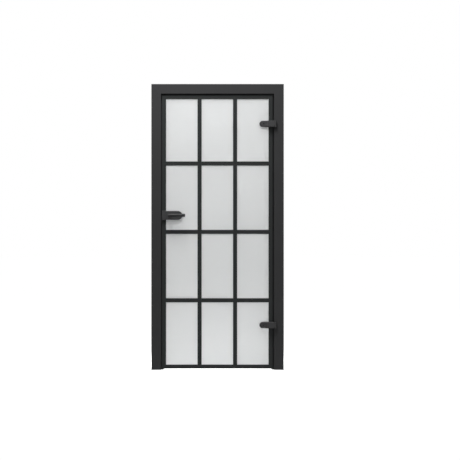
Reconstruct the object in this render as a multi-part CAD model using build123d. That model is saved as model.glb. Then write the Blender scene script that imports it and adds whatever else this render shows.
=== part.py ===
from build123d import *
import os

# Frosted glass door leaf with a grid of black bars, hung on two clamp hinges in a black
# aluminium frame. Millimetres. The origin is at floor level, in the middle of the frame's
# width, on the mid-plane of the glass. +X points towards the hinges, +Y from the pull side
# to the push side, +Z up.

# Frame
frame_width = 987
frame_height = 2130
frame_depth = 85
frame_face = 72
frame_wall = 2.2
frame_edge_radius = 1
stop_width = 19
fixing_radius = 4.25
fixing_rise = 250
fixing_drop = 230
fixing_head_x = 300

# Corner cleats inside the mitred corners
cleat_leg = 110
cleat_bar = 24
cleat_clearance = 0.2
cleat_screw_inset = 22
cleat_screw_length = 18

# Foot caps under the jambs
cap_thickness = 3
plug_height = 14
plug_wall = 2

# Leaf and the gaps round it
lock_gap = 7
hinge_gap = 11
head_gap = 10
floor_gap = 8
glass_thickness = 8
glass_setback = 11
glass_arris = 1
bar_width = 30
bar_thickness = 2
column_count = 3
row_count = 4
pad_thickness = 1
pad_inset = 1
stop_clearance = 4

# Rebate seal
seal_gap = 5
groove_width = 4
groove_depth = 4
seal_width = 8
seal_inset = 4.5
seal_corner_radius = 2.4
seal_slit = 0.2

# Clearances
fit = 0.05
slip = 0.3
bar_clearance = 0.5
overrun = 5

# Hinges
hinge_rise = 325
hinge_drop = 215
hinge_height = 46
hinge_reach = 98.5
hinge_plate = 9
hinge_arm_reach = 38
hinge_arm_clearance = 2.5
hinge_axis_inset = 10
hinge_chamfer = 1.8
knuckle_radius = 8
knuckle_standoff = 1.5
knuckle_end_height = 11
washer_thickness = 1
washer_radius = 7.2
pin_radius = 3
pin_chamfer = 0.6
stem_radius = 4
collar_radius = 5.2
stem_depth = 14
anchor_width = 15
anchor_depth = 16
anchor_height = 56

# Socket screws of the hinges
nose_screw_inset = 32
arm_screw_inset = 24.5
screw_radius = 3
screw_head_radius = 5
screw_head_height = 5
screw_socket_radius = 2.9
screw_socket_depth = 2.6
sleeve_radius = 5.8
glass_hole_radius = 6

# Lock plates
lock_z = 1151
lock_height = 66
lock_reach = 151.5
lock_plate = 12
lock_end_width = 31
lock_end_rise = 3
lock_end_inset = 0.5
lock_chamfer = 2.5
case_thickness = 24
case_wall = 3
base_thickness = 2
backset = 60
nose_bolt_inset = 28
nose_bolt_rise = 17
edge_bolt_inset = 34.5
edge_bolt_drop = 24
bolt_radius = 2.5
bolt_head_radius = 4.8
bolt_socket_radius = 1.9
bolt_socket_depth = 1.6
bolt_end_margin = 3
boss_radius = 5.5

# Lever handles
lever_radius = 11.5
lever_projection = 66
lever_length = 114
lever_tip_chamfer = 2.5
journal_radius = 9
bush_radius = 12
bush_flange_radius = 15
bush_flange = 2.5
bush_depth = 8
spindle_side = 8
spindle_hole_radius = 11
grub_radius = 2.5
grub_inset = 12

# Latch mechanism in the rear case
hub_radius = 9.5
cam_radius = 20
cam_nose_radius = 3
latch_thickness = 8
latch_height = 24
latch_reach = 10
latch_head_length = 30
latch_bevel_share = 0.75
tail_overlap = 18
tail_height = 17
notch_lead = 3.8
notch_trail = 9
spring_rib_gap = 28
spring_strip = 0.7
spring_height = 10

# Strike plate on the rebate stop
strike_length = 92
strike_width = 26
strike_thickness = 2
strike_margin = 1.2
strike_slot_clearance = 0.6
strike_corner_radius = 4
strike_screw_inset = 11
strike_screw_radius = 2
strike_screw_head_radius = 3.6
strike_screw_length = 12

# Places worked out from the sizes above
x_out = frame_width / 2
x_face = x_out - frame_face
x_stop = x_face - stop_width
leaf_x0 = lock_gap - x_face
leaf_x1 = x_face - hinge_gap
leaf_z0 = floor_gap
leaf_z1 = frame_height - frame_face - head_gap
glass_y = glass_thickness / 2
pad_y = glass_y + pad_thickness
bar_y = glass_y + bar_thickness
front_y = -glass_y - glass_setback
back_y = front_y + frame_depth
stop_y = bar_y + seal_gap
web_y = stop_y + groove_depth
chamber_y = web_y + frame_wall
section_width = frame_face + stop_width
axis_x = x_face + hinge_axis_inset
axis_y = front_y - knuckle_standoff - knuckle_radius
hinge_plate_y = -pad_y - hinge_plate
hinge_arm_y = axis_y - knuckle_radius
nose_screw_x = leaf_x1 - hinge_reach + nose_screw_inset
arm_screw_x = leaf_x1 - arm_screw_inset
hinge_heights = {"lower": leaf_z0 + hinge_rise, "upper": leaf_z1 - hinge_drop}
spindle_x = leaf_x0 + backset
lock_nose_x = leaf_x0 + lock_reach
case_x0 = stop_clearance - x_stop
lock_front_y = -pad_y - lock_plate
case_y = pad_y + case_thickness
case_inner_y = case_y - case_wall
base_y = pad_y + base_thickness
lock_bolts = [
    (lock_nose_x - nose_bolt_inset, lock_z - nose_bolt_rise),
    (lock_nose_x - nose_bolt_inset, lock_z + nose_bolt_rise),
    (leaf_x0 + edge_bolt_inset, lock_z - edge_bolt_drop),
]
latch_y1 = case_inner_y - slip
latch_y0 = latch_y1 - latch_thickness
latch_tip_x = -x_stop - latch_reach
tail_x1 = spindle_x + tail_overlap
rib_x = tail_x1 + spring_rib_gap


# Shapes along the main axes
def block(x0, x1, y0, y1, z0, z1):
    """A box between two corners."""
    box = Box(x1 - x0, y1 - y0, z1 - z0, align=Align.MIN)
    return Pos(x0, y0, z0) * box


def rod_x(y, z, radius, x0, x1):
    """A round bar along X."""
    bar = Cylinder(radius, x1 - x0, align=(Align.CENTER, Align.CENTER, Align.MIN))
    return Pos(x0, y, z) * Rot(0, 90, 0) * bar


def rod_y(x, z, radius, y0, y1):
    """A round bar along Y."""
    bar = Cylinder(radius, y1 - y0, align=(Align.CENTER, Align.CENTER, Align.MIN))
    return Pos(x, y0, z) * Rot(-90, 0, 0) * bar


def rod_z(x, y, radius, z0, z1):
    """A round bar along Z."""
    bar = Cylinder(radius, z1 - z0, align=(Align.CENTER, Align.CENTER, Align.MIN))
    return Pos(x, y, z0) * bar


def upright(outline, y0, y1):
    """A flat outline drawn in X and Z, given a thickness along Y."""
    front = Plane(origin=(0, y0, 0), x_dir=(1, 0, 0), z_dir=(0, -1, 0))
    return extrude(front * outline, amount=y0 - y1)


def polygon(points):
    """A flat face round a list of points."""
    return make_face(Polyline(*points, close=True))


def nosed(flat_x, tip_x, z, height):
    """A plate outline with a straight end at flat_x and a half-round nose at tip_x."""
    radius = height / 2
    centre_x = tip_x - radius if tip_x > flat_x else tip_x + radius
    middle = Pos((flat_x + centre_x) / 2, z) * Rectangle(abs(centre_x - flat_x), height)
    return middle + Pos(centre_x, z) * Circle(radius)


def group(*solids):
    """Like pieces that share one node."""
    return Compound(children=list(solids))


def mirrored(shape):
    """The same shape on the other side of the glass."""
    return mirror(shape, about=Plane.XZ)


# Frame section: u runs from the outer side towards the opening, y from front to back
def frame_section():
    """Hollow two-chamber extrusion with a rebate stop and a groove for the seal."""
    outline = polygon([
        (0, front_y), (frame_face, front_y), (frame_face, stop_y), (section_width, stop_y),
        (section_width, back_y), (0, back_y),
    ])
    front_corners = outline.vertices().group_by(Axis.Y)[0]
    stop_corner = outline.vertices().group_by(Axis.X)[-1]
    outline = fillet(front_corners + stop_corner, frame_edge_radius)
    face_inner = frame_face - frame_wall
    front_chamber = polygon([
        (frame_wall, front_y + frame_wall), (face_inner, front_y + frame_wall),
        (face_inner, web_y), (frame_wall, web_y),
    ])
    inner = section_width - frame_wall
    back_chamber = polygon([
        (frame_wall, chamber_y), (inner, chamber_y),
        (inner, back_y - frame_wall), (frame_wall, back_y - frame_wall),
    ])
    groove_u = section_width - seal_inset
    groove = Pos(groove_u, (stop_y + web_y) / 2) * Rectangle(groove_width, groove_depth)
    return outline - front_chamber - back_chamber - groove


def seal_section():
    """Bulb seal with a foot in the groove, just clear of the leaf."""
    centre_u = section_width - seal_inset
    foot_depth = groove_depth - seal_slit
    foot = Pos(centre_u, stop_y + foot_depth / 2) * Rectangle(groove_width, foot_depth)
    bulb_height = seal_gap - seal_slit
    bulb_y = stop_y - bulb_height / 2
    bulb = Rectangle(seal_width, bulb_height)
    soft_corners = bulb.vertices().group_by(Axis.Y)[0]
    bulb = fillet(soft_corners, seal_corner_radius)
    return foot + Pos(centre_u, bulb_y) * bulb


def jamb_run(section):
    """A section run up the left jamb and cut to the mitre at the top."""
    base = Plane(origin=(-x_out, 0, cap_thickness), x_dir=(1, 0, 0), z_dir=(0, 0, 1))
    run = extrude(base * section, amount=frame_height - cap_thickness)
    mitre = polygon([
        (-x_out, 0), (-x_stop, 0), (-x_stop, frame_height - section_width),
        (-x_out, frame_height),
    ])
    return run & upright(mitre, front_y - overrun, back_y + overrun)


def head_run(section):
    """A section run across the head and mitred at both ends."""
    base = Plane(origin=(-x_out, 0, frame_height), x_dir=(0, 0, -1), z_dir=(1, 0, 0))
    run = extrude(base * section, amount=frame_width)
    mitre = polygon([
        (-x_out, frame_height), (-x_stop, frame_height - section_width),
        (x_stop, frame_height - section_width), (x_out, frame_height),
    ])
    return run & upright(mitre, front_y - overrun, back_y + overrun)


def fixing_y():
    """Depth of the wall fixings, in the middle of the rear chamber."""
    return (chamber_y + back_y - frame_wall) / 2


def side_fixings(x0, x1):
    """Holes for the wall screws through both walls of a jamb."""
    low = rod_x(fixing_y(), fixing_rise, fixing_radius, x0, x1)
    high = rod_x(fixing_y(), frame_height - fixing_drop, fixing_radius, x0, x1)
    return low + high


def left_jamb():
    """Lock-side jamb with the slot for the latch."""
    jamb = jamb_run(frame_section())
    jamb -= side_fixings(-x_out - overrun, -x_stop + overrun)
    half = latch_height / 2 + strike_slot_clearance
    jamb -= block(
        latch_tip_x - strike_slot_clearance, -x_stop + overrun,
        latch_y0 - strike_slot_clearance, latch_y1 + strike_slot_clearance,
        lock_z - half, lock_z + half,
    )
    for z in strike_screw_heights():
        end_x = -x_stop - frame_wall - overrun
        jamb -= rod_x(strike_centre_y(), z, strike_screw_radius + fit, end_x, -x_stop)
    return jamb


def knuckle_heights(hinge_z):
    """Middle heights of a hinge's two frame knuckles."""
    rise = (hinge_height - knuckle_end_height) / 2
    return hinge_z - rise, hinge_z + rise


def right_jamb():
    """Hinge-side jamb with holes for the knuckle stems."""
    jamb = mirror(jamb_run(frame_section()), about=Plane.YZ)
    jamb -= side_fixings(x_stop - overrun, x_out + overrun)
    for hinge_z in hinge_heights.values():
        for z in knuckle_heights(hinge_z):
            wall_y = front_y + frame_wall + overrun
            jamb -= rod_y(axis_x, z, stem_radius + fit, front_y - overrun, wall_y)
    return jamb


def head_rail():
    """Head of the frame with its two wall fixings."""
    head = head_run(frame_section())
    low_z = frame_height - section_width - overrun
    for x in (-fixing_head_x, fixing_head_x):
        head -= rod_z(x, fixing_y(), fixing_radius, low_z, frame_height + overrun)
    return head


def cleat_depths():
    """Front and rear of a cleat, snug in the rear chamber."""
    return chamber_y + cleat_clearance, back_y - frame_wall - cleat_clearance


def corner_cleat():
    """Angle piece inside the left top corner, against the outer walls."""
    outer = frame_wall + cleat_clearance
    top = frame_height - outer
    side = -x_out + outer
    corner = polygon([
        (side, top), (side + cleat_leg, top), (side + cleat_leg, top - cleat_bar),
        (side + cleat_bar, top - cleat_bar), (side + cleat_bar, top - cleat_leg),
        (side, top - cleat_leg),
    ])
    cleat = upright(corner, *cleat_depths())
    for hole in cleat_screw_rods(bolt_radius + fit):
        cleat -= hole
    return cleat


def cleat_screw_rods(radius):
    """Shanks of the cleat screws: one in each leg of the left cleat."""
    y = sum(cleat_depths()) / 2
    outer = frame_wall + cleat_clearance
    leg = cleat_leg + outer - cleat_screw_inset
    reach = outer + cleat_screw_length
    across = rod_x(y, frame_height - leg, radius, outer - x_out, reach - x_out)
    down = rod_z(leg - x_out, y, radius, frame_height - reach, frame_height - outer)
    return across, down


def cleat_screws():
    """Grub screws that spread the cleats against the frame's outer walls."""
    across, down = cleat_screw_rods(bolt_radius)
    pair = [across, down]
    return group(*pair, *[mirror(screw, about=Plane.YZ) for screw in pair])


def foot_cap():
    """Plastic cap with two hollow plugs that closes the foot of the left jamb."""
    outline = polygon([
        (0, front_y), (frame_face, front_y), (frame_face, stop_y), (section_width, stop_y),
        (section_width, back_y), (0, back_y),
    ])
    base = Plane(origin=(-x_out, 0, 0), x_dir=(1, 0, 0), z_dir=(0, 0, 1))
    cap = extrude(base * outline, amount=cap_thickness)
    inset = frame_wall + slip
    face_x = frame_face - inset
    stop_x = section_width - inset
    chambers = [
        (inset, face_x, front_y + inset, web_y - slip),
        (inset, stop_x, chamber_y + slip, back_y - inset),
    ]
    top = cap_thickness + plug_height
    for u0, u1, y0, y1 in chambers:
        plug = block(u0 - x_out, u1 - x_out, y0, y1, cap_thickness, top)
        plug -= block(
            u0 - x_out + plug_wall, u1 - x_out - plug_wall, y0 + plug_wall, y1 - plug_wall,
            cap_thickness, top,
        )
        cap += plug
    return cap


# Glass and its bars
def glass_pane():
    """Toughened pane with ground edges and holes for the hinges and the lock."""
    pane = block(leaf_x0, leaf_x1, -glass_y, glass_y, leaf_z0, leaf_z1)
    faces = pane.faces().sort_by(Axis.Y)
    pane = chamfer(faces[0].edges() + faces[-1].edges(), glass_arris)
    for hinge_z in hinge_heights.values():
        for x in (nose_screw_x, arm_screw_x):
            pane -= rod_y(x, hinge_z, glass_hole_radius, -bar_y, bar_y)
    for x, z in lock_bolts:
        pane -= rod_y(x, z, glass_hole_radius, -bar_y, bar_y)
    return pane - rod_y(spindle_x, lock_z, spindle_hole_radius, -bar_y, bar_y)


def bar(x0, x1, z0, z1):
    """One flat bar on the front face of the glass."""
    return block(x0, x1, -bar_y, -glass_y, z0, z1)


def broken_border(x0, x1, breaks):
    """A side border that stops above and below each fitting."""
    pieces = []
    low = leaf_z0
    for centre, height in sorted(breaks):
        half = height / 2 + bar_clearance
        pieces.append(bar(x0, x1, low, centre - half))
        low = centre + half
    pieces.append(bar(x0, x1, low, leaf_z1))
    return pieces


def bar_grid():
    """All bars of the front face, by node."""
    inner_x0 = leaf_x0 + bar_width
    inner_x1 = leaf_x1 - bar_width
    inner_z0 = leaf_z0 + bar_width
    inner_z1 = leaf_z1 - bar_width
    pane = (inner_x1 - inner_x0 - (column_count - 1) * bar_width) / column_count
    row = (leaf_z1 - leaf_z0) / row_count
    columns = [inner_x0 + i * (pane + bar_width) for i in range(column_count)]
    rows = [leaf_z0 + i * row for i in range(1, row_count)]
    half = bar_width / 2
    hinge_breaks = [(z, hinge_height) for z in hinge_heights.values()]
    return {
        "lock_border": broken_border(leaf_x0, inner_x0, [(lock_z, lock_height)]),
        "hinge_border": broken_border(inner_x1, leaf_x1, hinge_breaks),
        "end_borders": [
            bar(inner_x0, inner_x1, leaf_z0, inner_z0),
            bar(inner_x0, inner_x1, inner_z1, leaf_z1),
        ],
        "upright_bars": [bar(x - bar_width, x, inner_z0, inner_z1) for x in columns[1:]],
        "cross_bars": [
            bar(x, x + pane, z - half, z + half) for z in rows for x in columns
        ],
    }


# Hinges
def hinge_outline(end_x, z, inset):
    """Outline of a hinge plate from a straight end to its round nose."""
    nose_x = leaf_x1 - hinge_reach
    return nosed(end_x - inset, nose_x + inset, z, hinge_height - 2 * inset)


def hinge_clamp(z):
    """Front plate with a raised arm that ends in the middle knuckle."""
    half = hinge_height / 2
    arm_x0 = leaf_x1 - hinge_arm_reach
    arm_x1 = x_face - hinge_arm_clearance
    plate = upright(hinge_outline(arm_x1, z, 0), hinge_plate_y, -pad_y)
    plate = chamfer(plate.edges().group_by(Axis.Y)[0], hinge_chamfer)
    arm = block(arm_x0, arm_x1, hinge_arm_y, -pad_y, z - half, z + half)
    neck_y = axis_y + knuckle_radius
    arm += block(arm_x1, axis_x, hinge_arm_y, neck_y, z - half, z + half)
    rim = arm.faces().sort_by(Axis.Y)[0].edges().filter_by(Axis.X)
    arm_edge = arm.faces().sort_by(Axis.X)[0].edges().group_by(Axis.Y)[0]
    arm = chamfer(rim + arm_edge, hinge_chamfer)
    clamp = plate + arm
    inner = half - knuckle_end_height - washer_thickness
    gap = knuckle_radius + slip
    for z0, z1 in ((z - half - overrun, z - inner), (z + inner, z + half + overrun)):
        clamp -= block(axis_x - gap, axis_x + gap, hinge_arm_y - overrun, -pad_y, z0, z1)
    clamp += rod_z(axis_x, axis_y, knuckle_radius, z - inner, z + inner)
    clamp -= rod_z(axis_x, axis_y, pin_radius + fit, z - half, z + half)
    return clamp - screw_recess(nose_screw_x, z) - mirrored(tapped_hole(arm_screw_x, z))


def hinge_back_end():
    """Straight end of what sits behind the glass, clear of the rebate stop."""
    return x_stop - stop_clearance


def hinge_back_plate(z):
    """Counter plate behind the glass: one screw ends in it, the other starts from it."""
    outline = hinge_outline(hinge_back_end(), z, 0)
    plate = upright(outline, pad_y, pad_y + hinge_plate)
    plate = chamfer(plate.edges().group_by(Axis.Y)[-1], hinge_chamfer)
    return plate - tapped_hole(nose_screw_x, z) - mirrored(screw_recess(arm_screw_x, z))


def screw_end_y():
    """How deep a hinge screw reaches into the plate on the far side of the glass."""
    return pad_y + hinge_plate - pad_thickness


def screw_recess(x, z):
    """Counterbored hole for a cap screw driven from the front."""
    head_y = hinge_plate_y + screw_head_height
    recess = rod_y(x, z, screw_head_radius + slip, hinge_plate_y, head_y)
    return recess + rod_y(x, z, screw_radius + slip, head_y, 0)


def tapped_hole(x, z):
    """Blind hole for the end of a cap screw driven from the front."""
    return rod_y(x, z, screw_radius + fit, 0, screw_end_y() + fit)


def hinge_pads(z):
    """Soft pads between the two plates and the glass."""
    front = upright(hinge_outline(leaf_x1, z, pad_inset), -pad_y, -glass_y)
    back = upright(hinge_outline(hinge_back_end(), z, pad_inset), glass_y, pad_y)
    for x in (nose_screw_x, arm_screw_x):
        hole = rod_y(x, z, screw_radius + slip, -pad_y, pad_y)
        front -= hole
        back -= hole
    return [front, back]


def socket_screw(x, z):
    """Cap screw with a hexagon socket, driven from the front."""
    head_y = hinge_plate_y + screw_head_height
    screw = rod_y(x, z, screw_head_radius, hinge_plate_y, head_y)
    screw += rod_y(x, z, screw_radius, head_y, screw_end_y())
    socket = Pos(x, z) * RegularPolygon(screw_socket_radius, 6)
    return screw - upright(socket, hinge_plate_y, hinge_plate_y + screw_socket_depth)


def glass_sleeve(x, z, bore):
    """Plastic sleeve that keeps a screw off the edge of its hole in the glass."""
    sleeve = rod_y(x, z, sleeve_radius, -glass_y, glass_y)
    return sleeve - rod_y(x, z, bore, -glass_y, glass_y)


def frame_knuckle(z):
    """Knuckle on a stem that passes through the jamb's face into the anchor."""
    half = knuckle_end_height / 2
    knuckle = rod_z(axis_x, axis_y, knuckle_radius, z - half, z + half)
    knuckle += rod_y(axis_x, z, collar_radius, axis_y, front_y)
    knuckle += rod_y(axis_x, z, stem_radius, axis_y, front_y + stem_depth)
    return knuckle - rod_z(axis_x, axis_y, pin_radius + fit, z - half, z + half)


def hinge_pin(z):
    """Pin through all three knuckles."""
    half = hinge_height / 2
    pin = rod_z(axis_x, axis_y, pin_radius, z - half, z + half)
    return chamfer(pin.edges().filter_by(GeomType.CIRCLE), pin_chamfer)


def hinge_washer(z0):
    """Bearing washer between two knuckles."""
    washer = rod_z(axis_x, axis_y, washer_radius, z0, z0 + washer_thickness)
    return washer - rod_z(axis_x, axis_y, pin_radius + fit, z0, z0 + washer_thickness)


def hinge_washers(z):
    """The two washers of a hinge, either side of the middle knuckle."""
    outer = hinge_height / 2 - knuckle_end_height
    return [hinge_washer(z - outer), hinge_washer(z + outer - washer_thickness)]


def hinge_anchor(z):
    """Tapped block inside the jamb that the stems screw into."""
    half_width = anchor_width / 2
    y0 = front_y + frame_wall
    half = anchor_height / 2
    x0 = axis_x - half_width
    anchor = block(x0, x0 + anchor_width, y0, y0 + anchor_depth, z - half, z + half)
    for stem_z in knuckle_heights(z):
        anchor -= rod_y(axis_x, stem_z, stem_radius + fit, y0, y0 + anchor_depth)
    return anchor


def hinge_screws(z):
    """One screw from the front at the nose and one from the rear under the arm."""
    return [socket_screw(nose_screw_x, z), mirrored(socket_screw(arm_screw_x, z))]


def hinge_sleeves(z):
    """The sleeves round a hinge's two screws."""
    return [glass_sleeve(x, z, screw_radius + slip) for x in (nose_screw_x, arm_screw_x)]


def hinge_knuckles(z):
    """The two frame knuckles of a hinge."""
    return [frame_knuckle(height) for height in knuckle_heights(z)]


def both_hinges(pieces):
    """Like pieces of the two hinges in one node."""
    return group(*[piece for z in hinge_heights.values() for piece in pieces(z)])


def hinge_nodes():
    """All pieces of the hinges, by node."""
    nodes = {
        "hinge_pads": both_hinges(hinge_pads),
        "hinge_screws": both_hinges(hinge_screws),
        "hinge_sleeves": both_hinges(hinge_sleeves),
        "hinge_knuckles": both_hinges(hinge_knuckles),
        "hinge_washers": both_hinges(hinge_washers),
    }
    for side, z in hinge_heights.items():
        nodes[f"{side}_hinge_clamp"] = hinge_clamp(z)
        nodes[f"{side}_hinge_back_plate"] = hinge_back_plate(z)
        nodes[f"{side}_hinge_pin"] = hinge_pin(z)
        nodes[f"{side}_hinge_anchor"] = hinge_anchor(z)
    return nodes


# Lock
def lock_outline(flat_x, inset):
    """Outline of a lock plate from its straight end to its round nose."""
    return nosed(flat_x + inset, lock_nose_x - inset, lock_z, lock_height - 2 * inset)


def lock_front_plate():
    """Front plate with a raised end at the leaf's edge and a seat for the lever's bush."""
    flat_x = leaf_x0 + lock_end_inset
    plate = upright(lock_outline(flat_x, 0), lock_front_y, -pad_y)
    plate = chamfer(plate.edges().group_by(Axis.Y)[0], lock_chamfer)
    half = lock_height / 2
    end_y = lock_front_y - lock_end_rise
    end = block(
        flat_x, flat_x + lock_end_width, end_y, -pad_y, lock_z - half, lock_z + half
    )
    end = chamfer(end.faces().sort_by(Axis.Y)[0].edges(), hinge_chamfer)
    plate += end
    plate -= rod_y(spindle_x, lock_z, bush_radius + fit, lock_front_y, lock_front_y + bush_depth)
    plate -= rod_y(spindle_x, lock_z, journal_radius, lock_front_y, 0)
    for x, z in lock_bolts:
        plate -= rod_y(x, z, bolt_radius + fit, bolt_end_y() - fit, 0)
    return plate


def bolt_end_y():
    """How far the lock's bolts reach into the front plate."""
    return lock_front_y + bolt_end_margin


def lock_case():
    """Rear shell with bosses for the bolts and a rib for the latch spring."""
    case = upright(lock_outline(case_x0, 0), pad_y, case_y)
    case = chamfer(case.edges().group_by(Axis.Y)[-1], lock_chamfer)
    case -= upright(lock_outline(case_x0, case_wall), pad_y, case_inner_y)
    inside = upright(lock_outline(case_x0, case_wall), base_y, case_inner_y)
    for x, z in lock_bolts:
        case += rod_y(x, z, boss_radius, base_y, case_inner_y) & inside
    rib_z0, rib_z1 = tail_span()
    case += block(rib_x, rib_x + case_wall, base_y, case_inner_y, rib_z0, rib_z1)
    half = latch_height / 2 + slip
    case -= block(
        case_x0, case_x0 + case_wall, latch_y0 - slip, latch_y1 + slip, lock_z - half, lock_z + half
    )
    case -= rod_y(spindle_x, lock_z, bush_radius + fit, case_inner_y, case_y)
    cone_depth = bolt_head_radius - bolt_radius
    for x, z in lock_bolts:
        case -= rod_y(x, z, bolt_radius + slip, 0, case_y)
        case -= bolt_cone(x, z, bolt_head_radius + fit, bolt_radius + fit, cone_depth)
    return case


def bolt_cone(x, z, wide, narrow, depth):
    """Countersink in the rear face of the case."""
    cone = Cone(wide, narrow, depth, align=(Align.CENTER, Align.CENTER, Align.MIN))
    return Pos(x, case_y, z) * Rot(90, 0, 0) * cone


def lock_bolt(x, z):
    """Countersunk bolt driven from the rear, with a hexagon socket."""
    cone_depth = bolt_head_radius - bolt_radius
    bolt = bolt_cone(x, z, bolt_head_radius, bolt_radius, cone_depth)
    bolt += rod_y(x, z, bolt_radius, bolt_end_y(), case_y - cone_depth)
    socket = Pos(x, z) * RegularPolygon(bolt_socket_radius, 6)
    return bolt - upright(socket, case_y - bolt_socket_depth, case_y)


def lock_base():
    """Plate that closes the case on the glass side."""
    base = upright(lock_outline(case_x0, case_wall + slip), pad_y, base_y)
    base -= rod_y(spindle_x, lock_z, journal_radius, pad_y, base_y)
    for x, z in lock_bolts:
        base -= rod_y(x, z, bolt_radius + slip, pad_y, base_y)
    return base


def lock_pads():
    """Soft pads between the lock plates and the glass."""
    front = upright(lock_outline(leaf_x0 + lock_end_inset, pad_inset), -pad_y, -glass_y)
    back = upright(lock_outline(case_x0, pad_inset), glass_y, pad_y)
    spindle_hole = rod_y(spindle_x, lock_z, spindle_hole_radius, -pad_y, pad_y)
    pads = [front - spindle_hole, back - spindle_hole]
    for x, z in lock_bolts:
        pads = [pad - rod_y(x, z, bolt_radius + slip, -pad_y, pad_y) for pad in pads]
    return group(*pads)


# Levers and the pieces that turn with them
def square_bar(half_side, y0, y1):
    """A square bar on the spindle's axis."""
    return block(
        spindle_x - half_side, spindle_x + half_side, y0, y1, lock_z - half_side, lock_z + half_side
    )


def spindle_end():
    """Half the length of the spindle."""
    return lever_projection - lever_radius


def lever(face_y):
    """Mitred round-bar lever whose neck turns in a bush at face_y, drawn on the rear side."""
    neck_y = face_y + bush_flange + slip
    path = Polyline(
        (spindle_x, neck_y, lock_z), (spindle_x, lever_projection, lock_z),
        (spindle_x + lever_length, lever_projection, lock_z),
    )
    start = Plane(origin=(spindle_x, neck_y, lock_z), z_dir=(0, 1, 0))
    handle = sweep(start * Circle(lever_radius), path=path, transition=Transition.RIGHT)
    tip = handle.faces().sort_by(Axis.X)[-1].edges()
    handle = chamfer(tip, lever_tip_chamfer)
    handle += rod_y(spindle_x, lock_z, journal_radius, face_y - case_wall, neck_y)
    handle -= square_bar(spindle_side / 2 + fit, face_y - case_wall, spindle_end() + slip)
    grub_y = spindle_end() - grub_inset
    handle -= rod_z(spindle_x, grub_y, grub_radius + fit, lock_z - lever_radius, lock_z)
    return handle


def lever_grub():
    """Grub screw under the neck of the rear lever."""
    grub_y = spindle_end() - grub_inset
    top = lock_z - spindle_side / 2 - fit
    return rod_z(spindle_x, grub_y, grub_radius, lock_z - lever_radius + pad_thickness, top)


def lever_bush(face_y, depth):
    """Flanged bush that carries a lever, drawn on the rear side."""
    bush = rod_y(spindle_x, lock_z, bush_radius, face_y - depth, face_y)
    bush += rod_y(spindle_x, lock_z, bush_flange_radius, face_y, face_y + bush_flange)
    return bush - rod_y(
        spindle_x, lock_z, journal_radius + fit, face_y - depth, face_y + bush_flange
    )


def follower():
    """Hub on the spindle whose cam draws the latch back."""
    hub = rod_y(spindle_x, lock_z, hub_radius, base_y + slip, case_inner_y - slip)
    cam_z = lock_z + cam_radius
    hub += block(
        spindle_x - cam_nose_radius, spindle_x + cam_nose_radius, latch_y0, latch_y1, lock_z, cam_z
    )
    hub += rod_y(spindle_x, cam_z, cam_nose_radius, latch_y0, latch_y1)
    return hub - square_bar(spindle_side / 2 + fit, base_y, case_inner_y)


def tail_span():
    """Bottom and top of the latch's tail, above the follower's hub."""
    bottom = lock_z + hub_radius + slip
    return bottom, bottom + tail_height


def latch_bolt():
    """Bevelled latch with a tail that the follower's cam catches in a notch."""
    half = latch_height / 2
    head_x1 = latch_tip_x + latch_head_length
    bevel = latch_thickness * latch_bevel_share
    plan = polygon([
        (latch_tip_x, latch_y0), (head_x1, latch_y0), (head_x1, latch_y1),
        (latch_tip_x + latch_reach, latch_y1), (latch_tip_x, latch_y1 - bevel),
    ])
    head = extrude(Pos(0, 0, lock_z - half) * plan, amount=latch_height)
    tail_z0, tail_z1 = tail_span()
    tail_x0 = head_x1 - latch_thickness
    tail = block(tail_x0, tail_x1, latch_y0, latch_y1, tail_z0, tail_z1)
    notch_top = lock_z + cam_radius + cam_nose_radius + slip
    tail -= block(
        spindle_x - notch_trail, spindle_x + notch_lead, latch_y0, latch_y1, tail_z0, notch_top
    )
    return head + tail


def latch_spring():
    """Folded leaf spring between the latch's tail and the rib of the case."""
    x0 = tail_x1 + fit
    x1 = rib_x - fit
    fold_x = (x0 + x1) / 2
    fold_y = base_y + slip
    top_y = latch_y1
    plan = polygon([
        (x0, top_y), (fold_x, fold_y), (x1, top_y), (x1 - spring_strip, top_y),
        (fold_x, fold_y + 2 * spring_strip), (x0 + spring_strip, top_y),
    ])
    middle = sum(tail_span()) / 2
    return extrude(Pos(0, 0, middle - spring_height / 2) * plan, amount=spring_height)


# Strike
def strike_centre_y():
    """Middle of the strike plate's depth on the stop."""
    return stop_y + strike_margin + strike_width / 2


def strike_screw_heights():
    """Heights of the two strike screws."""
    rise = strike_length / 2 - strike_screw_inset
    return lock_z - rise, lock_z + rise


def strike_plate():
    """Slotted plate on the inner face of the stop."""
    y0 = stop_y + strike_margin
    z0 = lock_z - strike_length / 2
    plate = block(-x_stop, strike_thickness - x_stop, y0, y0 + strike_width, z0, z0 + strike_length)
    plate = fillet(plate.edges().filter_by(Axis.X), strike_corner_radius)
    half = latch_height / 2 + strike_slot_clearance
    plate -= block(
        -x_stop - overrun, overrun - x_stop,
        latch_y0 - strike_slot_clearance, latch_y1 + strike_slot_clearance,
        lock_z - half, lock_z + half,
    )
    for z in strike_screw_heights():
        plate -= strike_cone(z, fit)
    return plate


def strike_cone(z, clearance):
    """Countersunk head of a strike screw."""
    wide = strike_screw_head_radius + clearance
    cone = Cone(
        wide, strike_screw_radius + clearance, strike_thickness,
        align=(Align.CENTER, Align.CENTER, Align.MIN),
    )
    return Pos(strike_thickness - x_stop, strike_centre_y(), z) * Rot(0, -90, 0) * cone


def strike_screw(z):
    """Countersunk screw into the stop's wall."""
    end_x = -x_stop - strike_screw_length
    shank = rod_x(strike_centre_y(), z, strike_screw_radius, end_x, -x_stop)
    return shank + strike_cone(z, 0)


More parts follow.
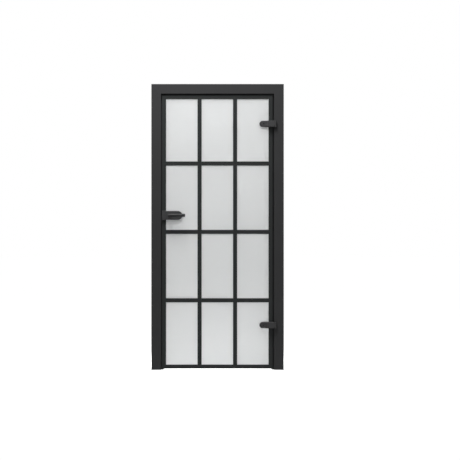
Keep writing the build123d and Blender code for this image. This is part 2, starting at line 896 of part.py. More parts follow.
def frame_nodes():
    """Fixed pieces of the frame, by node."""
    left_cleat = corner_cleat()
    left_cap = foot_cap()
    left_seal = jamb_run(seal_section())
    return {
        "left_jamb": left_jamb(),
        "right_jamb": right_jamb(),
        "head_rail": head_rail(),
        "corner_cleats": group(left_cleat, mirror(left_cleat, about=Plane.YZ)),
        "cleat_screws": cleat_screws(),
        "left_seal": left_seal,
        "right_seal": mirror(left_seal, about=Plane.YZ),
        "head_seal": head_run(seal_section()),
        "left_foot_cap": left_cap,
        "right_foot_cap": mirror(left_cap, about=Plane.YZ),
        "strike_plate": strike_plate(),
        "strike_screws": group(*[strike_screw(z) for z in strike_screw_heights()]),
    }


def leaf_nodes():
    """Glass and bars, by node."""
    nodes = {"glass_pane": glass_pane()}
    for name, bars in bar_grid().items():
        nodes[f"front_{name}"] = group(*bars)
        nodes[f"rear_{name}"] = group(*[mirrored(b) for b in bars])
    return nodes


def lock_nodes():
    """Lock, latch and levers, by node."""
    front_bush = mirrored(lever_bush(-lock_front_y, bush_depth))
    rear_grub = lever_grub()
    return {
        "lock_front_plate": lock_front_plate(),
        "lock_case": lock_case(),
        "lock_base": lock_base(),
        "lock_pads": lock_pads(),
        "lock_bolts": group(*[lock_bolt(*place) for place in lock_bolts]),
        "lock_sleeves": group(
            *[glass_sleeve(*place, bolt_radius + slip) for place in lock_bolts]
        ),
        "lever_bushes": group(front_bush, lever_bush(case_y, case_wall)),
        "latch_spring": latch_spring(),
        "front_lever": mirrored(lever(-lock_front_y)),
        "rear_lever": lever(case_y),
        "spindle": square_bar(spindle_side / 2, -spindle_end(), spindle_end()),
        "lever_grub_screws": group(mirrored(rear_grub), rear_grub),
        "follower": follower(),
        "latch_bolt": latch_bolt(),
    }


os.makedirs("parts", exist_ok=True)
for node, shape in {**frame_nodes(), **leaf_nodes(), **hinge_nodes(), **lock_nodes()}.items():
    export_step(shape, f"parts/{node}.step")
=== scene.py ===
import math

import bmesh
import bpy
from bpy.props import FloatProperty, FloatVectorProperty, PointerProperty
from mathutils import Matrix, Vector


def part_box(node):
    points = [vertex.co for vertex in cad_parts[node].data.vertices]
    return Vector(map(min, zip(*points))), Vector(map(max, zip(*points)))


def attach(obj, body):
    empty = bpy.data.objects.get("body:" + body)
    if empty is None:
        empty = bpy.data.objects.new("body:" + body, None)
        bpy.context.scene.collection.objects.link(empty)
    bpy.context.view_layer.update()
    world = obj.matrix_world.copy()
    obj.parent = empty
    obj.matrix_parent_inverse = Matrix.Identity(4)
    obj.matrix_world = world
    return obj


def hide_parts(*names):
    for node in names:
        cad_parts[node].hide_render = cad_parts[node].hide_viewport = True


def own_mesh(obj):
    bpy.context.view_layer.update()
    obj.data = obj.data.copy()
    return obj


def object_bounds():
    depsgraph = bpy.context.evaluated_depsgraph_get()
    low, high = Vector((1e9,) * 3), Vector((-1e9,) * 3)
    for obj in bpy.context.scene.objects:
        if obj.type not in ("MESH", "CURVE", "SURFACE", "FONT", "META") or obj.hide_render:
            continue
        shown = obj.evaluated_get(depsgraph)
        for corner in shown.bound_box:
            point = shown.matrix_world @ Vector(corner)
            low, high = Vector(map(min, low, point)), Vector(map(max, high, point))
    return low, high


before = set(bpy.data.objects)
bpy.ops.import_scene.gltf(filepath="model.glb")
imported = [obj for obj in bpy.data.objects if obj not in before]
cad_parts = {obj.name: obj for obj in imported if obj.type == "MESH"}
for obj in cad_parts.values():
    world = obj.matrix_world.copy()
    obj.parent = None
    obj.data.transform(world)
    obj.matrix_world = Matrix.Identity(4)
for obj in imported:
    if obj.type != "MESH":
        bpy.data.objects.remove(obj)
cad_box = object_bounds()

bl_info = {
    "name": "Glass Door with Bar Grid",
    "version": (1, 0, 0),
    "blender": (4, 5, 0),
    "location": "3D View > Sidebar > Door",
    "description": "Gives a framed frosted glass door its finishes and sets up a plain studio",
    "category": "Object",
}

MM = 0.001

# Nodes that share a finish
FRAME_RUNS = ["left_jamb", "right_jamb", "head_rail"]
SEALS = ["left_seal", "right_seal", "head_seal"]
FOOT_CAPS = ["left_foot_cap", "right_foot_cap"]
BAR_KINDS = ["lock_border", "hinge_border", "end_borders", "upright_bars", "cross_bars"]
BARS = [f"{side}_{kind}" for side in ("front", "rear") for kind in BAR_KINDS]
HINGE_CASTINGS = [
    "upper_hinge_clamp", "lower_hinge_clamp", "upper_hinge_back_plate", "lower_hinge_back_plate",
    "hinge_knuckles",
]
HINGE_PINS = ["upper_hinge_pin", "lower_hinge_pin", "upper_hinge_anchor", "lower_hinge_anchor"]
LOCK_CASTINGS = ["lock_front_plate", "lock_case"]
LEVERS = ["front_lever", "rear_lever"]
LOCK_STEEL = ["lock_base", "spindle", "follower", "latch_bolt"]

# Where the frame stands in the photograph, in its pixels
PHOTO_SIDE = 460
PHOTO_LEFT = 151.35
PHOTO_RIGHT = 283.80
PHOTO_FOOT = 369.85

# Sockets of a Mix node that blends colours
MIX_A = 6
MIX_B = 7
MIX_OUT = 2

# Rounding of edges: what is welded, what counts as flat and what counts as an edge
WELD_REACH = 0.002 * MM
FLAT_ANGLE = math.radians(0.5)
EDGE_ANGLE = math.radians(35)
EDGE_STEPS = 2

# Darkest and lightest tone in a finish, against its own colour
COAT_TONES = (0.9, 1.1)
# Tone of the lighter edges, partly wear and partly a painted highlight
EDGE_WEAR_AND_HIGHLIGHT_TONE = 1.9
GLASS_TONES = (0.97, 1.02)
METAL_TONES = (0.85, 1.1)
MOULDING_TONES = (0.85, 1.15)

# Where the values of a noise texture mostly lie
NOISE_LOW = 0.3
NOISE_HIGH = 0.7

# How far the roughness of a finish goes down and up
COAT_SWING = (-0.05, 0.05)
METAL_SWING = (-0.06, 0.08)

# A coat's edges are lighter, partly wear and partly a painted highlight, where the rounded normal leaves
# the flat one: cosine at the full lightening, and its largest share
EDGE_WEAR_AND_HIGHLIGHT_TURN = 0.75
EDGE_WEAR_AND_HIGHLIGHT_SHARE = 0.5

# Glass: its index, the share of light it lets through, and how squarely a frosted face looks front or rear
GLASS_IOR = 1.52
GLASS_CLEAR = 0.5
FROSTED_FACING = (0.8, 0.9)

# Roughness of the frosted faces and of the ground edges
FROSTED_ROUGHNESS = (0.86, 0.98)
GROUND_ROUGHNESS = 0.2

# How many times as wide the clouds in the glass are as those in the coats
GLASS_CLOUDS = 3

# Length of a grinding line against its width
BRUSH_LENGTH = 25

# Gap between the feet and the floor
FLOOR_GAP = 1 * MM

# Leaf spring behind the latch
SPRING_STRIP = 0.7 * MM
SPRING_STEPS = 24
SPRING_BEND = 1.3


def linear(code):
    """An sRGB hex colour as linear red, green and blue with full alpha."""
    parts = [int(code[i:i + 2], 16) / 255 for i in (1, 3, 5)]
    return [c / 12.92 if c <= 0.04045 else ((c + 0.055) / 1.055) ** 2.4 for c in parts] + [1]


def per_metre(size):
    """Scale of a texture whose pattern repeats about every size, in metres."""
    return 1 / size


# Properties
class DoorFinish(bpy.types.PropertyGroup):
    """Colours and grain sizes of the door."""

    frame_coat: FloatVectorProperty(
        name="Frame coat", description="Powder coat of the frame",
        subtype="COLOR", size=4, min=0, max=1, default=linear("#404041"),
    )
    bar_coat: FloatVectorProperty(
        name="Bar coat", description="Coat of the flat bars on the glass",
        subtype="COLOR", size=4, min=0, max=1, default=linear("#363838"),
    )
    fitting_coat: FloatVectorProperty(
        name="Fitting coat", description="Coat of the hinges and the lock",
        subtype="COLOR", size=4, min=0, max=1, default=linear("#4a4a4b"),
    )
    # Painted shade: the fittings' coat made darker for the levers, whose tops catch the light
    lever_painted_shade_coat: FloatVectorProperty(
        name="Lever coat", description="Enamel of the two levers",
        subtype="COLOR", size=4, min=0, max=1, default=linear("#373738"),
    )
    glass: FloatVectorProperty(
        name="Glass", description="Frosted face of the glass",
        subtype="COLOR", size=4, min=0, max=1, default=linear("#f4f5f5"),
    )
    glass_edge: FloatVectorProperty(
        name="Glass edge", description="Ground edge of the glass",
        subtype="COLOR", size=4, min=0, max=1, default=linear("#a9c4b8"),
    )
    steel: FloatVectorProperty(
        name="Steel", description="Bright steel of pins, latch and strike",
        subtype="COLOR", size=4, min=0, max=1, default=linear("#b9b9b7"),
    )
    rubber: FloatVectorProperty(
        name="Rubber", description="Seals and pads",
        subtype="COLOR", size=4, min=0, max=1, default=linear("#1b1b1c"),
    )
    nylon: FloatVectorProperty(
        name="Nylon", description="Foot caps, bushes, sleeves and washers",
        subtype="COLOR", size=4, min=0, max=1, default=linear("#202021"),
    )
    # Real peel is about 1 mm wide, and is drawn coarser so that it shows
    peel_size: FloatProperty(
        name="Coat grain", description="Width of the orange peel in the coats",
        subtype="DISTANCE", unit="LENGTH", min=0.0002, default=5 * MM,
    )
    cloud_size: FloatProperty(
        name="Coat cloud", description="Width of the faint tone changes in the coats",
        subtype="DISTANCE", unit="LENGTH", min=0.01, default=180 * MM,
    )
    # Real etch grain is about 0.05 mm wide, and is drawn coarser so that it shows
    etch_size: FloatProperty(
        name="Etch grain", description="Width of the grain on the frosted face",
        subtype="DISTANCE", unit="LENGTH", min=0.0002, default=4 * MM,
    )
    # Real grinding lines are about 0.1 mm wide, and are drawn coarser so that they show
    brush_width: FloatProperty(
        name="Brush line", description="Width of the grinding lines on steel",
        subtype="DISTANCE", unit="LENGTH", min=0.0001, default=1 * MM,
    )
    # Width of the lighter edges, partly wear and partly a painted highlight
    wear_and_highlight_width: FloatProperty(
        name="Edge wear", description="Width of the lighter line along the edges of the coats",
        subtype="DISTANCE", unit="LENGTH", min=0, default=1.2 * MM,
    )
    frame_edge: FloatProperty(
        name="Frame edge", description="Rounding of the frame's cut edges",
        subtype="DISTANCE", unit="LENGTH", min=0, default=0.4 * MM,
    )
    bar_edge: FloatProperty(
        name="Bar edge", description="Rounding of the bars' edges",
        subtype="DISTANCE", unit="LENGTH", min=0, default=0.5 * MM,
    )
    fitting_edge: FloatProperty(
        name="Fitting edge", description="Rounding of the edges of hinges, lock and levers",
        subtype="DISTANCE", unit="LENGTH", min=0, default=0.7 * MM,
    )


class DoorStage(bpy.types.PropertyGroup):
    """Camera, floor and light of the studio."""

    camera_distance: FloatProperty(
        name="Camera distance", description="From the frame's face to the camera",
        subtype="DISTANCE", unit="LENGTH", min=1, default=10,
    )
    key_power: FloatProperty(
        name="Key light", description="Power of the large light above on the left",
        subtype="POWER", unit="POWER", min=0, default=54,
    )
    key_side: FloatProperty(
        name="Key size", description="Side of the key light",
        subtype="DISTANCE", unit="LENGTH", min=0.1, default=1.1,
    )
    key_left: FloatProperty(
        name="Key left", description="From the door's middle to the key light, to the left",
        subtype="DISTANCE", unit="LENGTH", default=0.6,
    )
    key_ahead: FloatProperty(
        name="Key ahead", description="From the door to the key light, to the front",
        subtype="DISTANCE", unit="LENGTH", default=1.2,
    )
    key_height: FloatProperty(
        name="Key height", description="From the floor to the key light",
        subtype="DISTANCE", unit="LENGTH", min=0, default=4.6,
    )
    key_aim: FloatProperty(
        name="Key aim", description="Height on the door that the key light looks at",
        subtype="DISTANCE", unit="LENGTH", min=0, default=1.0,
    )
    key_spread: FloatProperty(
        name="Key spread", description="Angle that the grid in front of the key light leaves open",
        subtype="ANGLE", unit="ROTATION", min=0.1, max=math.pi, default=math.radians(110),
    )
    back_power: FloatProperty(
        name="Back light", description="Power of the light on the floor behind the door",
        subtype="POWER", unit="POWER", min=0, default=25,
    )
    back_side: FloatProperty(
        name="Back size", description="Side of the back light",
        subtype="DISTANCE", unit="LENGTH", min=0.1, default=0.5,
    )
    back_distance: FloatProperty(
        name="Back distance", description="From the door to the middle of the pool of light behind it",
        subtype="DISTANCE", unit="LENGTH", min=0, default=0.5,
    )
    back_height: FloatProperty(
        name="Back height", description="From the floor to the back light",
        subtype="DISTANCE", unit="LENGTH", min=0.1, default=2.6,
    )
    back_spread: FloatProperty(
        name="Back spread", description="Angle that the grid in front of the back light leaves open",
        subtype="ANGLE", unit="ROTATION", min=0.1, max=math.pi, default=math.radians(50),
    )
    ambient: FloatProperty(
        name="Ambient", description="Strength of the even light from all round",
        subtype="FACTOR", min=0, max=1, default=0.18,
    )
    floor_glow: FloatProperty(
        name="Floor glow", description="Share of white that the camera sees in the floor by itself",
        subtype="FACTOR", min=0, max=1, default=0.925,
    )
    floor_side: FloatProperty(
        name="Floor size", description="Side of the floor",
        subtype="DISTANCE", unit="LENGTH", min=5, default=80,
    )


# Materials
def node(tree, kind, inputs=None, **settings):
    """Adds a node, makes its settings and fills or links its inputs."""
    made = tree.nodes.new(kind)
    for name, value in settings.items():
        setattr(made, name, value)
    for name, value in (inputs or {}).items():
        if isinstance(value, bpy.types.NodeSocket):
            tree.links.new(value, made.inputs[name])
        else:
            made.inputs[name].default_value = value
    return made


def start_material(name, roughness, metallic=0.0):
    """A new material, its tree and its shader."""
    material = bpy.data.materials.new(name)
    material.use_nodes = True
    shader = material.node_tree.nodes["Principled BSDF"]
    shader.inputs["Roughness"].default_value = roughness
    shader.inputs["Metallic"].default_value = metallic
    return material, material.node_tree, shader


def shade(colour, factor):
    """The same colour, lighter or darker."""
    return [min(1, channel * factor) for channel in colour[:3]] + [1]


def coat(name, finish, colour, roughness, gloss, depth):
    """A cured coat on metal, with a fine peel, faint clouds, and edges made lighter, partly as wear and
    partly as a painted highlight.
    """
    material, tree, shader = start_material(name, roughness)
    shader.inputs["Specular IOR Level"].default_value = gloss
    place = node(tree, "ShaderNodeTexCoord").outputs["Object"]
    cloud = node(tree, "ShaderNodeTexNoise", {
        "Vector": place, "Scale": per_metre(finish.cloud_size), "Detail": 4.0,
    })
    peel = node(tree, "ShaderNodeTexNoise", {
        "Vector": place, "Scale": per_metre(finish.peel_size), "Detail": 3.0, "Roughness": 0.6,
    })
    tone = node(tree, "ShaderNodeMix", {
        "Factor": cloud.outputs["Fac"], MIX_A: shade(colour, COAT_TONES[0]),
        MIX_B: shade(colour, COAT_TONES[1]),
    }, data_type="RGBA")
    speckle = node(tree, "ShaderNodeMapRange", {
        "Value": peel.outputs["Fac"], "From Min": NOISE_LOW, "From Max": NOISE_HIGH,
        "To Min": roughness + COAT_SWING[0], "To Max": roughness + COAT_SWING[1],
    })
    relief = node(tree, "ShaderNodeBump", {
        "Height": peel.outputs["Fac"], "Strength": 0.25, "Distance": depth,
    })
    # Lighter edges: partly wear, partly a painted highlight where the edges catch light
    soft = node(tree, "ShaderNodeBevel", {"Radius": finish.wear_and_highlight_width}, samples=4)
    true_normal = node(tree, "ShaderNodeNewGeometry").outputs["True Normal"]
    turn = node(tree, "ShaderNodeVectorMath", {
        0: soft.outputs["Normal"], 1: true_normal,
    }, operation="DOT_PRODUCT")
    wear_and_highlight_mask = node(tree, "ShaderNodeMapRange", {
        "Value": turn.outputs["Value"], "From Min": 1.0, "From Max": EDGE_WEAR_AND_HIGHLIGHT_TURN, "To Max": EDGE_WEAR_AND_HIGHLIGHT_SHARE,
    })
    wear_and_highlight = node(tree, "ShaderNodeMix", {
        "Factor": wear_and_highlight_mask.outputs["Result"], MIX_A: tone.outputs[MIX_OUT],
        MIX_B: shade(colour, EDGE_WEAR_AND_HIGHLIGHT_TONE),
    }, data_type="RGBA")
    tree.links.new(wear_and_highlight.outputs[MIX_OUT], shader.inputs["Base Color"])
    tree.links.new(speckle.outputs["Result"], shader.inputs["Roughness"])
    tree.links.new(relief.outputs["Normal"], shader.inputs["Normal"])
    return material


def powder_coated_aluminium(finish):
    """Polyester powder cured on an extrusion: an even satin black with a fine orange peel."""
    return coat(
        "powder_coated_aluminium", finish, finish.frame_coat, roughness=0.5, gloss=0.1, depth=0.06 * MM,
    )


def lacquered_aluminium_strip(finish):
    """Thin lacquer on rolled strip: flatter and a little cooler than the frame."""
    return coat(
        "lacquered_aluminium_strip", finish, finish.bar_coat, roughness=0.45, gloss=0.1, depth=0.03 * MM,
    )


def coated_zinc_casting(finish):
    """Electrophoretic black on polished die-castings: smoother, with clearer highlights."""
    return coat(
        "coated_zinc_casting", finish, finish.fitting_coat, roughness=0.38, gloss=0.13, depth=0.02 * MM,
    )


def lever_coat_with_painted_shade(finish):
    """The castings' black coat made darker for the levers: painted shade that tones down their brightly
    lit tops.
    """
    return coat(
        "lever_coat_with_painted_shade", finish, finish.lever_painted_shade_coat, roughness=0.4, gloss=0.13, depth=0.02 * MM,
    )


def acid_etched_glass(finish):
    """Etched toughened glass: milky faces that scatter light, with greenish ground edges."""
    material, tree, shader = start_material("acid_etched_glass", roughness=0.9)
    shader.inputs["IOR"].default_value = GLASS_IOR
    shader.inputs["Transmission Weight"].default_value = GLASS_CLEAR
    coordinates = node(tree, "ShaderNodeTexCoord")
    place = coordinates.outputs["Object"]
    facing = node(tree, "ShaderNodeSeparateXYZ", {"Vector": coordinates.outputs["Normal"]})
    flat = node(tree, "ShaderNodeMath", {0: facing.outputs["Y"]}, operation="ABSOLUTE")
    frosted = node(tree, "ShaderNodeMapRange", {
        "Value": flat.outputs["Value"], "From Min": FROSTED_FACING[0], "From Max": FROSTED_FACING[1],
    })
    cloud = node(tree, "ShaderNodeTexNoise", {
        "Vector": place, "Scale": per_metre(GLASS_CLOUDS * finish.cloud_size), "Detail": 3.0,
    })
    etch = node(tree, "ShaderNodeTexNoise", {
        "Vector": place, "Scale": per_metre(finish.etch_size), "Detail": 4.0, "Roughness": 0.7,
    })
    milk = node(tree, "ShaderNodeMix", {
        "Factor": cloud.outputs["Fac"], MIX_A: shade(finish.glass, GLASS_TONES[0]),
        MIX_B: shade(finish.glass, GLASS_TONES[1]),
    }, data_type="RGBA")
    body = node(tree, "ShaderNodeMix", {
        "Factor": frosted.outputs["Result"], MIX_A: finish.glass_edge, MIX_B: milk.outputs[MIX_OUT],
    }, data_type="RGBA")
    grain = node(tree, "ShaderNodeMapRange", {
        "Value": etch.outputs["Fac"], "From Min": NOISE_LOW, "From Max": NOISE_HIGH,
        "To Min": FROSTED_ROUGHNESS[0], "To Max": FROSTED_ROUGHNESS[1],
    })
    haze = node(tree, "ShaderNodeMapRange", {
        "Value": frosted.outputs["Result"], "To Min": GROUND_ROUGHNESS, "To Max": grain.outputs["Result"],
    })
    relief = node(tree, "ShaderNodeBump", {
        "Height": etch.outputs["Fac"], "Strength": 0.15, "Distance": 0.02 * MM,
    })
    tree.links.new(body.outputs[MIX_OUT], shader.inputs["Base Color"])
    tree.links.new(haze.outputs["Result"], shader.inputs["Roughness"])
    tree.links.new(relief.outputs["Normal"], shader.inputs["Normal"])
    return material


def bare_metal(name, finish, colour, roughness):
    """A metal with fine upright lines from grinding or from the press."""
    material, tree, shader = start_material(name, roughness, metallic=1.0)
    place = node(tree, "ShaderNodeTexCoord").outputs["Object"]
    stretched = node(tree, "ShaderNodeMapping", {"Vector": place, "Scale": (1.0, 1.0, 1 / BRUSH_LENGTH)})
    lines = node(tree, "ShaderNodeTexNoise", {
        "Vector": stretched.outputs["Vector"], "Scale": per_metre(finish.brush_width), "Detail": 2.0,
    })
    tone = node(tree, "ShaderNodeMix", {
        "Factor": lines.outputs["Fac"], MIX_A: shade(colour, METAL_TONES[0]),
        MIX_B: shade(colour, METAL_TONES[1]),
    }, data_type="RGBA")
    sheen = node(tree, "ShaderNodeMapRange", {
        "Value": lines.outputs["Fac"], "From Min": NOISE_LOW, "From Max": NOISE_HIGH,
        "To Min": roughness + METAL_SWING[0], "To Max": roughness + METAL_SWING[1],
    })
    relief = node(tree, "ShaderNodeBump", {
        "Height": lines.outputs["Fac"], "Strength": 0.1, "Distance": 0.02 * MM,
    })
    tree.links.new(tone.outputs[MIX_OUT], shader.inputs["Base Color"])
    tree.links.new(sheen.outputs["Result"], shader.inputs["Roughness"])
    tree.links.new(relief.outputs["Normal"], shader.inputs["Normal"])
    return material


def bright_steel(finish):
    """Ground mild steel: grey and metallic, with fine lines."""
    return bare_metal("ground_bright_steel", finish, finish.steel, roughness=0.3)


def black_oxide_steel(finish):
    """Oxide-blackened screws: dark and oily, with a dull metal shine."""
    return bare_metal("black_oxide_steel", finish, linear("#2b2b2d"), roughness=0.38)


def mill_aluminium(finish):
    """Sawn extrusion left as it comes from the press: pale and streaky."""
    return bare_metal("mill_finish_aluminium", finish, linear("#c4c6c8"), roughness=0.36)


def moulded(name, colour, roughness, grain, depth):
    """A matt black surface with a fine grain."""
    material, tree, shader = start_material(name, roughness)
    place = node(tree, "ShaderNodeTexCoord").outputs["Object"]
    speck = node(tree, "ShaderNodeTexNoise", {
        "Vector": place, "Scale": per_metre(grain), "Detail": 3.0, "Roughness": 0.65,
    })
    tone = node(tree, "ShaderNodeMix", {
        "Factor": speck.outputs["Fac"], MIX_A: shade(colour, MOULDING_TONES[0]),
        MIX_B: shade(colour, MOULDING_TONES[1]),
    }, data_type="RGBA")
    relief = node(tree, "ShaderNodeBump", {
        "Height": speck.outputs["Fac"], "Strength": 0.3, "Distance": depth,
    })
    tree.links.new(tone.outputs[MIX_OUT], shader.inputs["Base Color"])
    tree.links.new(relief.outputs["Normal"], shader.inputs["Normal"])
    return material


def epdm_rubber(finish):
    """Extruded EPDM: soft black with a dusty surface."""
    # Real grain is about 0.1 mm wide, and is drawn coarser so that it shows
    return moulded(
        "extruded_epdm_rubber", finish.rubber, roughness=0.75, grain=0.8 * MM, depth=0.05 * MM,
    )


def nylon(finish):
    """Moulded nylon: black with a fine matt grain."""
    # Real grain is about 0.1 mm wide, and is drawn coarser so that it shows
    return moulded("moulded_nylon", finish.nylon, roughness=0.55, grain=0.6 * MM, depth=0.03 * MM)


# Pieces
def dress(names, material, edge=0.0):
    """Gives CAD nodes a material and, where asked, softly rounded edges."""
    for name in names:
        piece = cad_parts[name]
        for slot in piece.material_slots:
            slot.material = material
        if edge > 0:
            weld = piece.modifiers.new("weld", "WELD")
            weld.merge_threshold = WELD_REACH
            merge = piece.modifiers.new("merge_flats", "DECIMATE")
            merge.decimate_type = "DISSOLVE"
            merge.angle_limit = FLAT_ANGLE
            rounding = piece.modifiers.new("rounding", "BEVEL")
            rounding.width = edge
            rounding.segments = EDGE_STEPS
            rounding.limit_method = "ANGLE"
            rounding.angle_limit = EDGE_ANGLE
            piece.modifiers.new("even_shading", "WEIGHTED_NORMAL")


class DOOR_OT_frame(bpy.types.Operator):
    """Finishes the jambs and the head"""

    bl_idname = "door.frame"
    bl_label = "Finish the frame"

    def execute(self, context):
        finish = context.scene.door_finish
        dress(FRAME_RUNS, powder_coated_aluminium(finish), finish.frame_edge)
        dress(["corner_cleats"], mill_aluminium(finish))
        return {"FINISHED"}


class DOOR_OT_seals(bpy.types.Operator):
    """Finishes the seals in the rebate and the pads under the fittings"""

    bl_idname = "door.seals"
    bl_label = "Finish the seals"

    def execute(self, context):
        finish = context.scene.door_finish
        dress([*SEALS, "hinge_pads", "lock_pads"], epdm_rubber(finish))
        return {"FINISHED"}


class DOOR_OT_mouldings(bpy.types.Operator):
    """Finishes the foot caps, bushes, sleeves and washers"""

    bl_idname = "door.mouldings"
    bl_label = "Finish the mouldings"

    def execute(self, context):
        finish = context.scene.door_finish
        material = nylon(finish)
        dress(FOOT_CAPS, material, finish.frame_edge)
        dress(["lever_bushes", "hinge_sleeves", "lock_sleeves", "hinge_washers"], material)
        return {"FINISHED"}


class DOOR_OT_glass(bpy.types.Operator):
    """Finishes the frosted pane"""

    bl_idname = "door.glass"
    bl_label = "Finish the glass"

    def execute(self, context):
        dress(["glass_pane"], acid_etched_glass(context.scene.door_finish))
        return {"FINISHED"}


class DOOR_OT_bars(bpy.types.Operator):
    """Finishes the grid of bars on both faces of the glass"""

    bl_idname = "door.bars"
    bl_label = "Finish the bars"

    def execute(self, context):
        finish = context.scene.door_finish
        dress(BARS, lacquered_aluminium_strip(finish), finish.bar_edge)
        return {"FINISHED"}


class DOOR_OT_fittings(bpy.types.Operator):
    """Finishes the hinges and the lock plates"""

    bl_idname = "door.fittings"
    bl_label = "Finish the fittings"

    def execute(self, context):
        finish = context.scene.door_finish
        dress([*HINGE_CASTINGS, *LOCK_CASTINGS], coated_zinc_casting(finish), finish.fitting_edge)
        return {"FINISHED"}


class DOOR_OT_levers(bpy.types.Operator):
    """Finishes the two levers"""

    bl_idname = "door.levers"
    bl_label = "Finish the levers"

    def execute(self, context):
        finish = context.scene.door_finish
        # The levers get the fittings' coat made darker, as painted shade
        dress(LEVERS, lever_coat_with_painted_shade(finish), finish.fitting_edge)
        return {"FINISHED"}


class DOOR_OT_metalwork(bpy.types.Operator):
    """Finishes screws, pins, strike, spindle and latch"""

    bl_idname = "door.metalwork"
    bl_label = "Finish the metalwork"

    def execute(self, context):
        finish = context.scene.door_finish
        steel = bright_steel(finish)
        dress([*HINGE_PINS, *LOCK_STEEL, "strike_plate", "strike_screws", "cleat_screws"], steel)
        dress(["hinge_screws", "lock_bolts", "lever_grub_screws"], black_oxide_steel(finish))
        return {"FINISHED"}


class DOOR_OT_latch_spring(bpy.types.Operator):
    """Makes the leaf spring that is squeezed when the latch is drawn back"""

    bl_idname = "door.latch_spring"
    bl_label = "Make the latch spring"

    def execute(self, context):
        low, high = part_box("latch_spring")
        rise = high.y - low.y - SPRING_STRIP
        shape = bmesh.new()
        rings = []
        for i in range(SPRING_STEPS + 1):
            along = i / SPRING_STEPS
            x = low.x + (high.x - low.x) * along
            y = low.y + rise * abs(2 * along - 1) ** SPRING_BEND
            front = [(x, y, low.z), (x, y, high.z)]
            back = [(x, y + SPRING_STRIP, high.z), (x, y + SPRING_STRIP, low.z)]
            rings.append([shape.verts.new(corner) for corner in front + back])
        for first, second in zip(rings, rings[1:]):
            for i in range(len(first)):
                shape.faces.new((first[i - 1], first[i], second[i], second[i - 1]))
        shape.faces.new(rings[0])
        shape.faces.new(rings[-1])
        bmesh.ops.recalc_face_normals(shape, faces=shape.faces)
        mesh = bpy.data.meshes.new("latch_leaf_spring")
        shape.to_mesh(mesh)
        shape.free()
        spring = bpy.data.objects.new("latch_leaf_spring", mesh)
        context.scene.collection.objects.link(spring)
        mesh.materials.append(bpy.data.materials["ground_bright_steel"])
        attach(spring, "leaf")
        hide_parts("latch_spring")
        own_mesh(spring)
        return {"FINISHED"}


def seen_ray(tree):
    """1 for rays from the camera, from gloss and through glass, and 0 for the light itself."""
    path = node(tree, "ShaderNodeLightPath")
    gloss = node(tree, "ShaderNodeMath", {
        0: path.outputs["Is Camera Ray"], 1: path.outputs["Is Glossy Ray"],
    }, operation="MAXIMUM")
    through = node(tree, "ShaderNodeMath", {
        0: gloss.outputs["Value"], 1: path.outputs["Is Transmission Ray"],
    }, operation="MAXIMUM")
    return through.outputs["Value"]


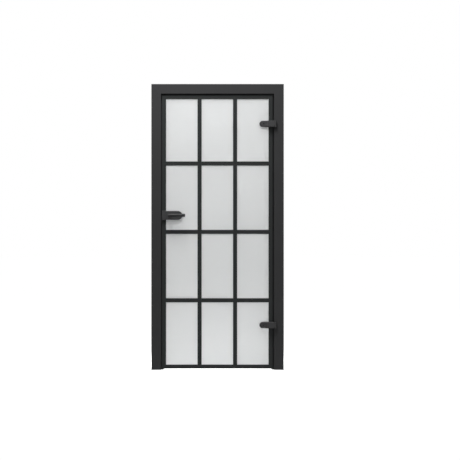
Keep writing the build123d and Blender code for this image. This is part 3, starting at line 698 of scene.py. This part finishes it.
class DOOR_OT_stage(bpy.types.Operator):
    """Sets up the floor, the white surroundings, the light and the camera"""

    bl_idname = "door.stage"
    bl_label = "Set up the stage"

    def execute(self, context):
        scene = context.scene
        stage = scene.door_stage
        scene.view_settings.view_transform = "Standard"
        self.surroundings(scene, stage)
        floor = self.floor(scene, stage)
        self.lights(scene, stage, floor)
        self.camera(scene, stage)
        return {"FINISHED"}

    def surroundings(self, scene, stage):
        """White to the eye, dimmer as a light."""
        world = bpy.data.worlds.new("white_studio")
        world.use_nodes = True
        tree = world.node_tree
        glow = node(tree, "ShaderNodeMapRange", {
            "Value": seen_ray(tree), "To Min": stage.ambient, "To Max": 1.0,
        })
        background = tree.nodes["Background"]
        background.inputs["Color"].default_value = (1, 1, 1, 1)
        tree.links.new(glow.outputs["Result"], background.inputs["Strength"])
        scene.world = world

    def floor(self, scene, stage):
        """A pale floor that keeps the door's shadow."""
        half = stage.floor_side / 2
        mesh = bpy.data.meshes.new("studio_floor")
        plan = [(-half, -half), (half, -half), (half, half), (-half, half)]
        mesh.from_pydata([(x, y, -FLOOR_GAP) for x, y in plan], [], [(0, 1, 2, 3)])
        floor = bpy.data.objects.new("studio_floor", mesh)
        scene.collection.objects.link(floor)
        material, tree, shader = start_material("matt_floor_paint", roughness=0.9)
        shader.inputs["Base Color"].default_value = linear("#b0b0b0")
        shader.inputs["Specular IOR Level"].default_value = 0.0
        shader.inputs["Emission Color"].default_value = (1, 1, 1, 1)
        glow = node(tree, "ShaderNodeMapRange", {"Value": seen_ray(tree), "To Max": stage.floor_glow})
        tree.links.new(glow.outputs["Result"], shader.inputs["Emission Strength"])
        mesh.materials.append(material)
        return floor

    def lights(self, scene, stage, floor):
        """A soft key in front, high on the left, and a pool of light on the floor behind the door."""
        low, high = cad_box
        middle = (low + high) / 2
        key_place = Vector((middle.x - stage.key_left, low.y - stage.key_ahead, stage.key_height))
        key_aim = Vector((middle.x, middle.y, stage.key_aim))
        key = self.lamp(scene, "key_light", key_place, key_aim)
        key.data.energy = stage.key_power
        key.data.size = stage.key_side
        key.data.spread = stage.key_spread
        pool = Vector((middle.x, high.y + stage.back_distance, 0))
        back = self.lamp(scene, "back_light", pool + Vector((0, 0, stage.back_height)), pool)
        back.data.energy = stage.back_power
        back.data.size = stage.back_side
        back.data.spread = stage.back_spread
        back.visible_glossy = False
        back.visible_transmission = False
        # The back light falls on the floor alone, so that the glass above it doesn't burn out
        lit = bpy.data.collections.new("lit_by_back_light")
        lit.objects.link(floor)
        back.light_linking.receiver_collection = lit

    def lamp(self, scene, name, place, target):
        """An area light that looks at a target."""
        lamp = bpy.data.objects.new(name, bpy.data.lights.new(name, "AREA"))
        scene.collection.objects.link(lamp)
        lamp.location = place
        lamp.rotation_euler = (target - place).to_track_quat("-Z", "Y").to_euler()
        return lamp

    def camera(self, scene, stage):
        """Square on to the door, framed as in the photograph."""
        jamb_low, jamb_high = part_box("left_jamb")
        low, high = cad_box
        pixel = (high.x - low.x) / (PHOTO_RIGHT - PHOTO_LEFT)
        middle = PHOTO_SIDE / 2
        data = bpy.data.cameras.new("camera")
        data.lens = data.sensor_width * stage.camera_distance / (PHOTO_SIDE * pixel)
        data.clip_end = stage.floor_side * 2
        camera = bpy.data.objects.new("camera", data)
        scene.collection.objects.link(camera)
        camera.location = (
            (middle - (PHOTO_LEFT + PHOTO_RIGHT) / 2) * pixel,
            jamb_low.y - stage.camera_distance,
            (PHOTO_FOOT - middle) * pixel,
        )
        camera.rotation_euler = (math.pi / 2, 0, 0)
        scene.camera = camera


class DOOR_PT_panel(bpy.types.Panel):
    """Lists the steps that finish the door"""

    bl_idname = "DOOR_PT_panel"
    bl_label = "Glass door"
    bl_space_type = "VIEW_3D"
    bl_region_type = "UI"
    bl_category = "Door"

    def draw(self, context):
        for step in STEPS:
            self.layout.operator(step.bl_idname)
        for group in (context.scene.door_finish, context.scene.door_stage):
            for name in group.__annotations__:
                self.layout.prop(group, name)


STEPS = [
    DOOR_OT_frame, DOOR_OT_seals, DOOR_OT_mouldings, DOOR_OT_glass, DOOR_OT_bars, DOOR_OT_fittings,
    DOOR_OT_levers, DOOR_OT_metalwork, DOOR_OT_latch_spring, DOOR_OT_stage,
]
CLASSES = [DoorFinish, DoorStage, *STEPS, DOOR_PT_panel]


def register():
    """Adds the classes and the scene's properties."""
    for item in CLASSES:
        bpy.utils.register_class(item)
    bpy.types.Scene.door_finish = PointerProperty(type=DoorFinish)
    bpy.types.Scene.door_stage = PointerProperty(type=DoorStage)


def unregister():
    """Takes the properties and the classes away again."""
    del bpy.types.Scene.door_stage
    del bpy.types.Scene.door_finish
    for item in reversed(CLASSES):
        bpy.utils.unregister_class(item)


def main():
    """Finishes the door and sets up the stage."""
    register()
    bpy.ops.door.frame()
    bpy.ops.door.seals()
    bpy.ops.door.mouldings()
    bpy.ops.door.glass()
    bpy.ops.door.bars()
    bpy.ops.door.fittings()
    bpy.ops.door.levers()
    bpy.ops.door.metalwork()
    bpy.ops.door.latch_spring()
    bpy.ops.door.stage()


if __name__ == "__main__":
    main()
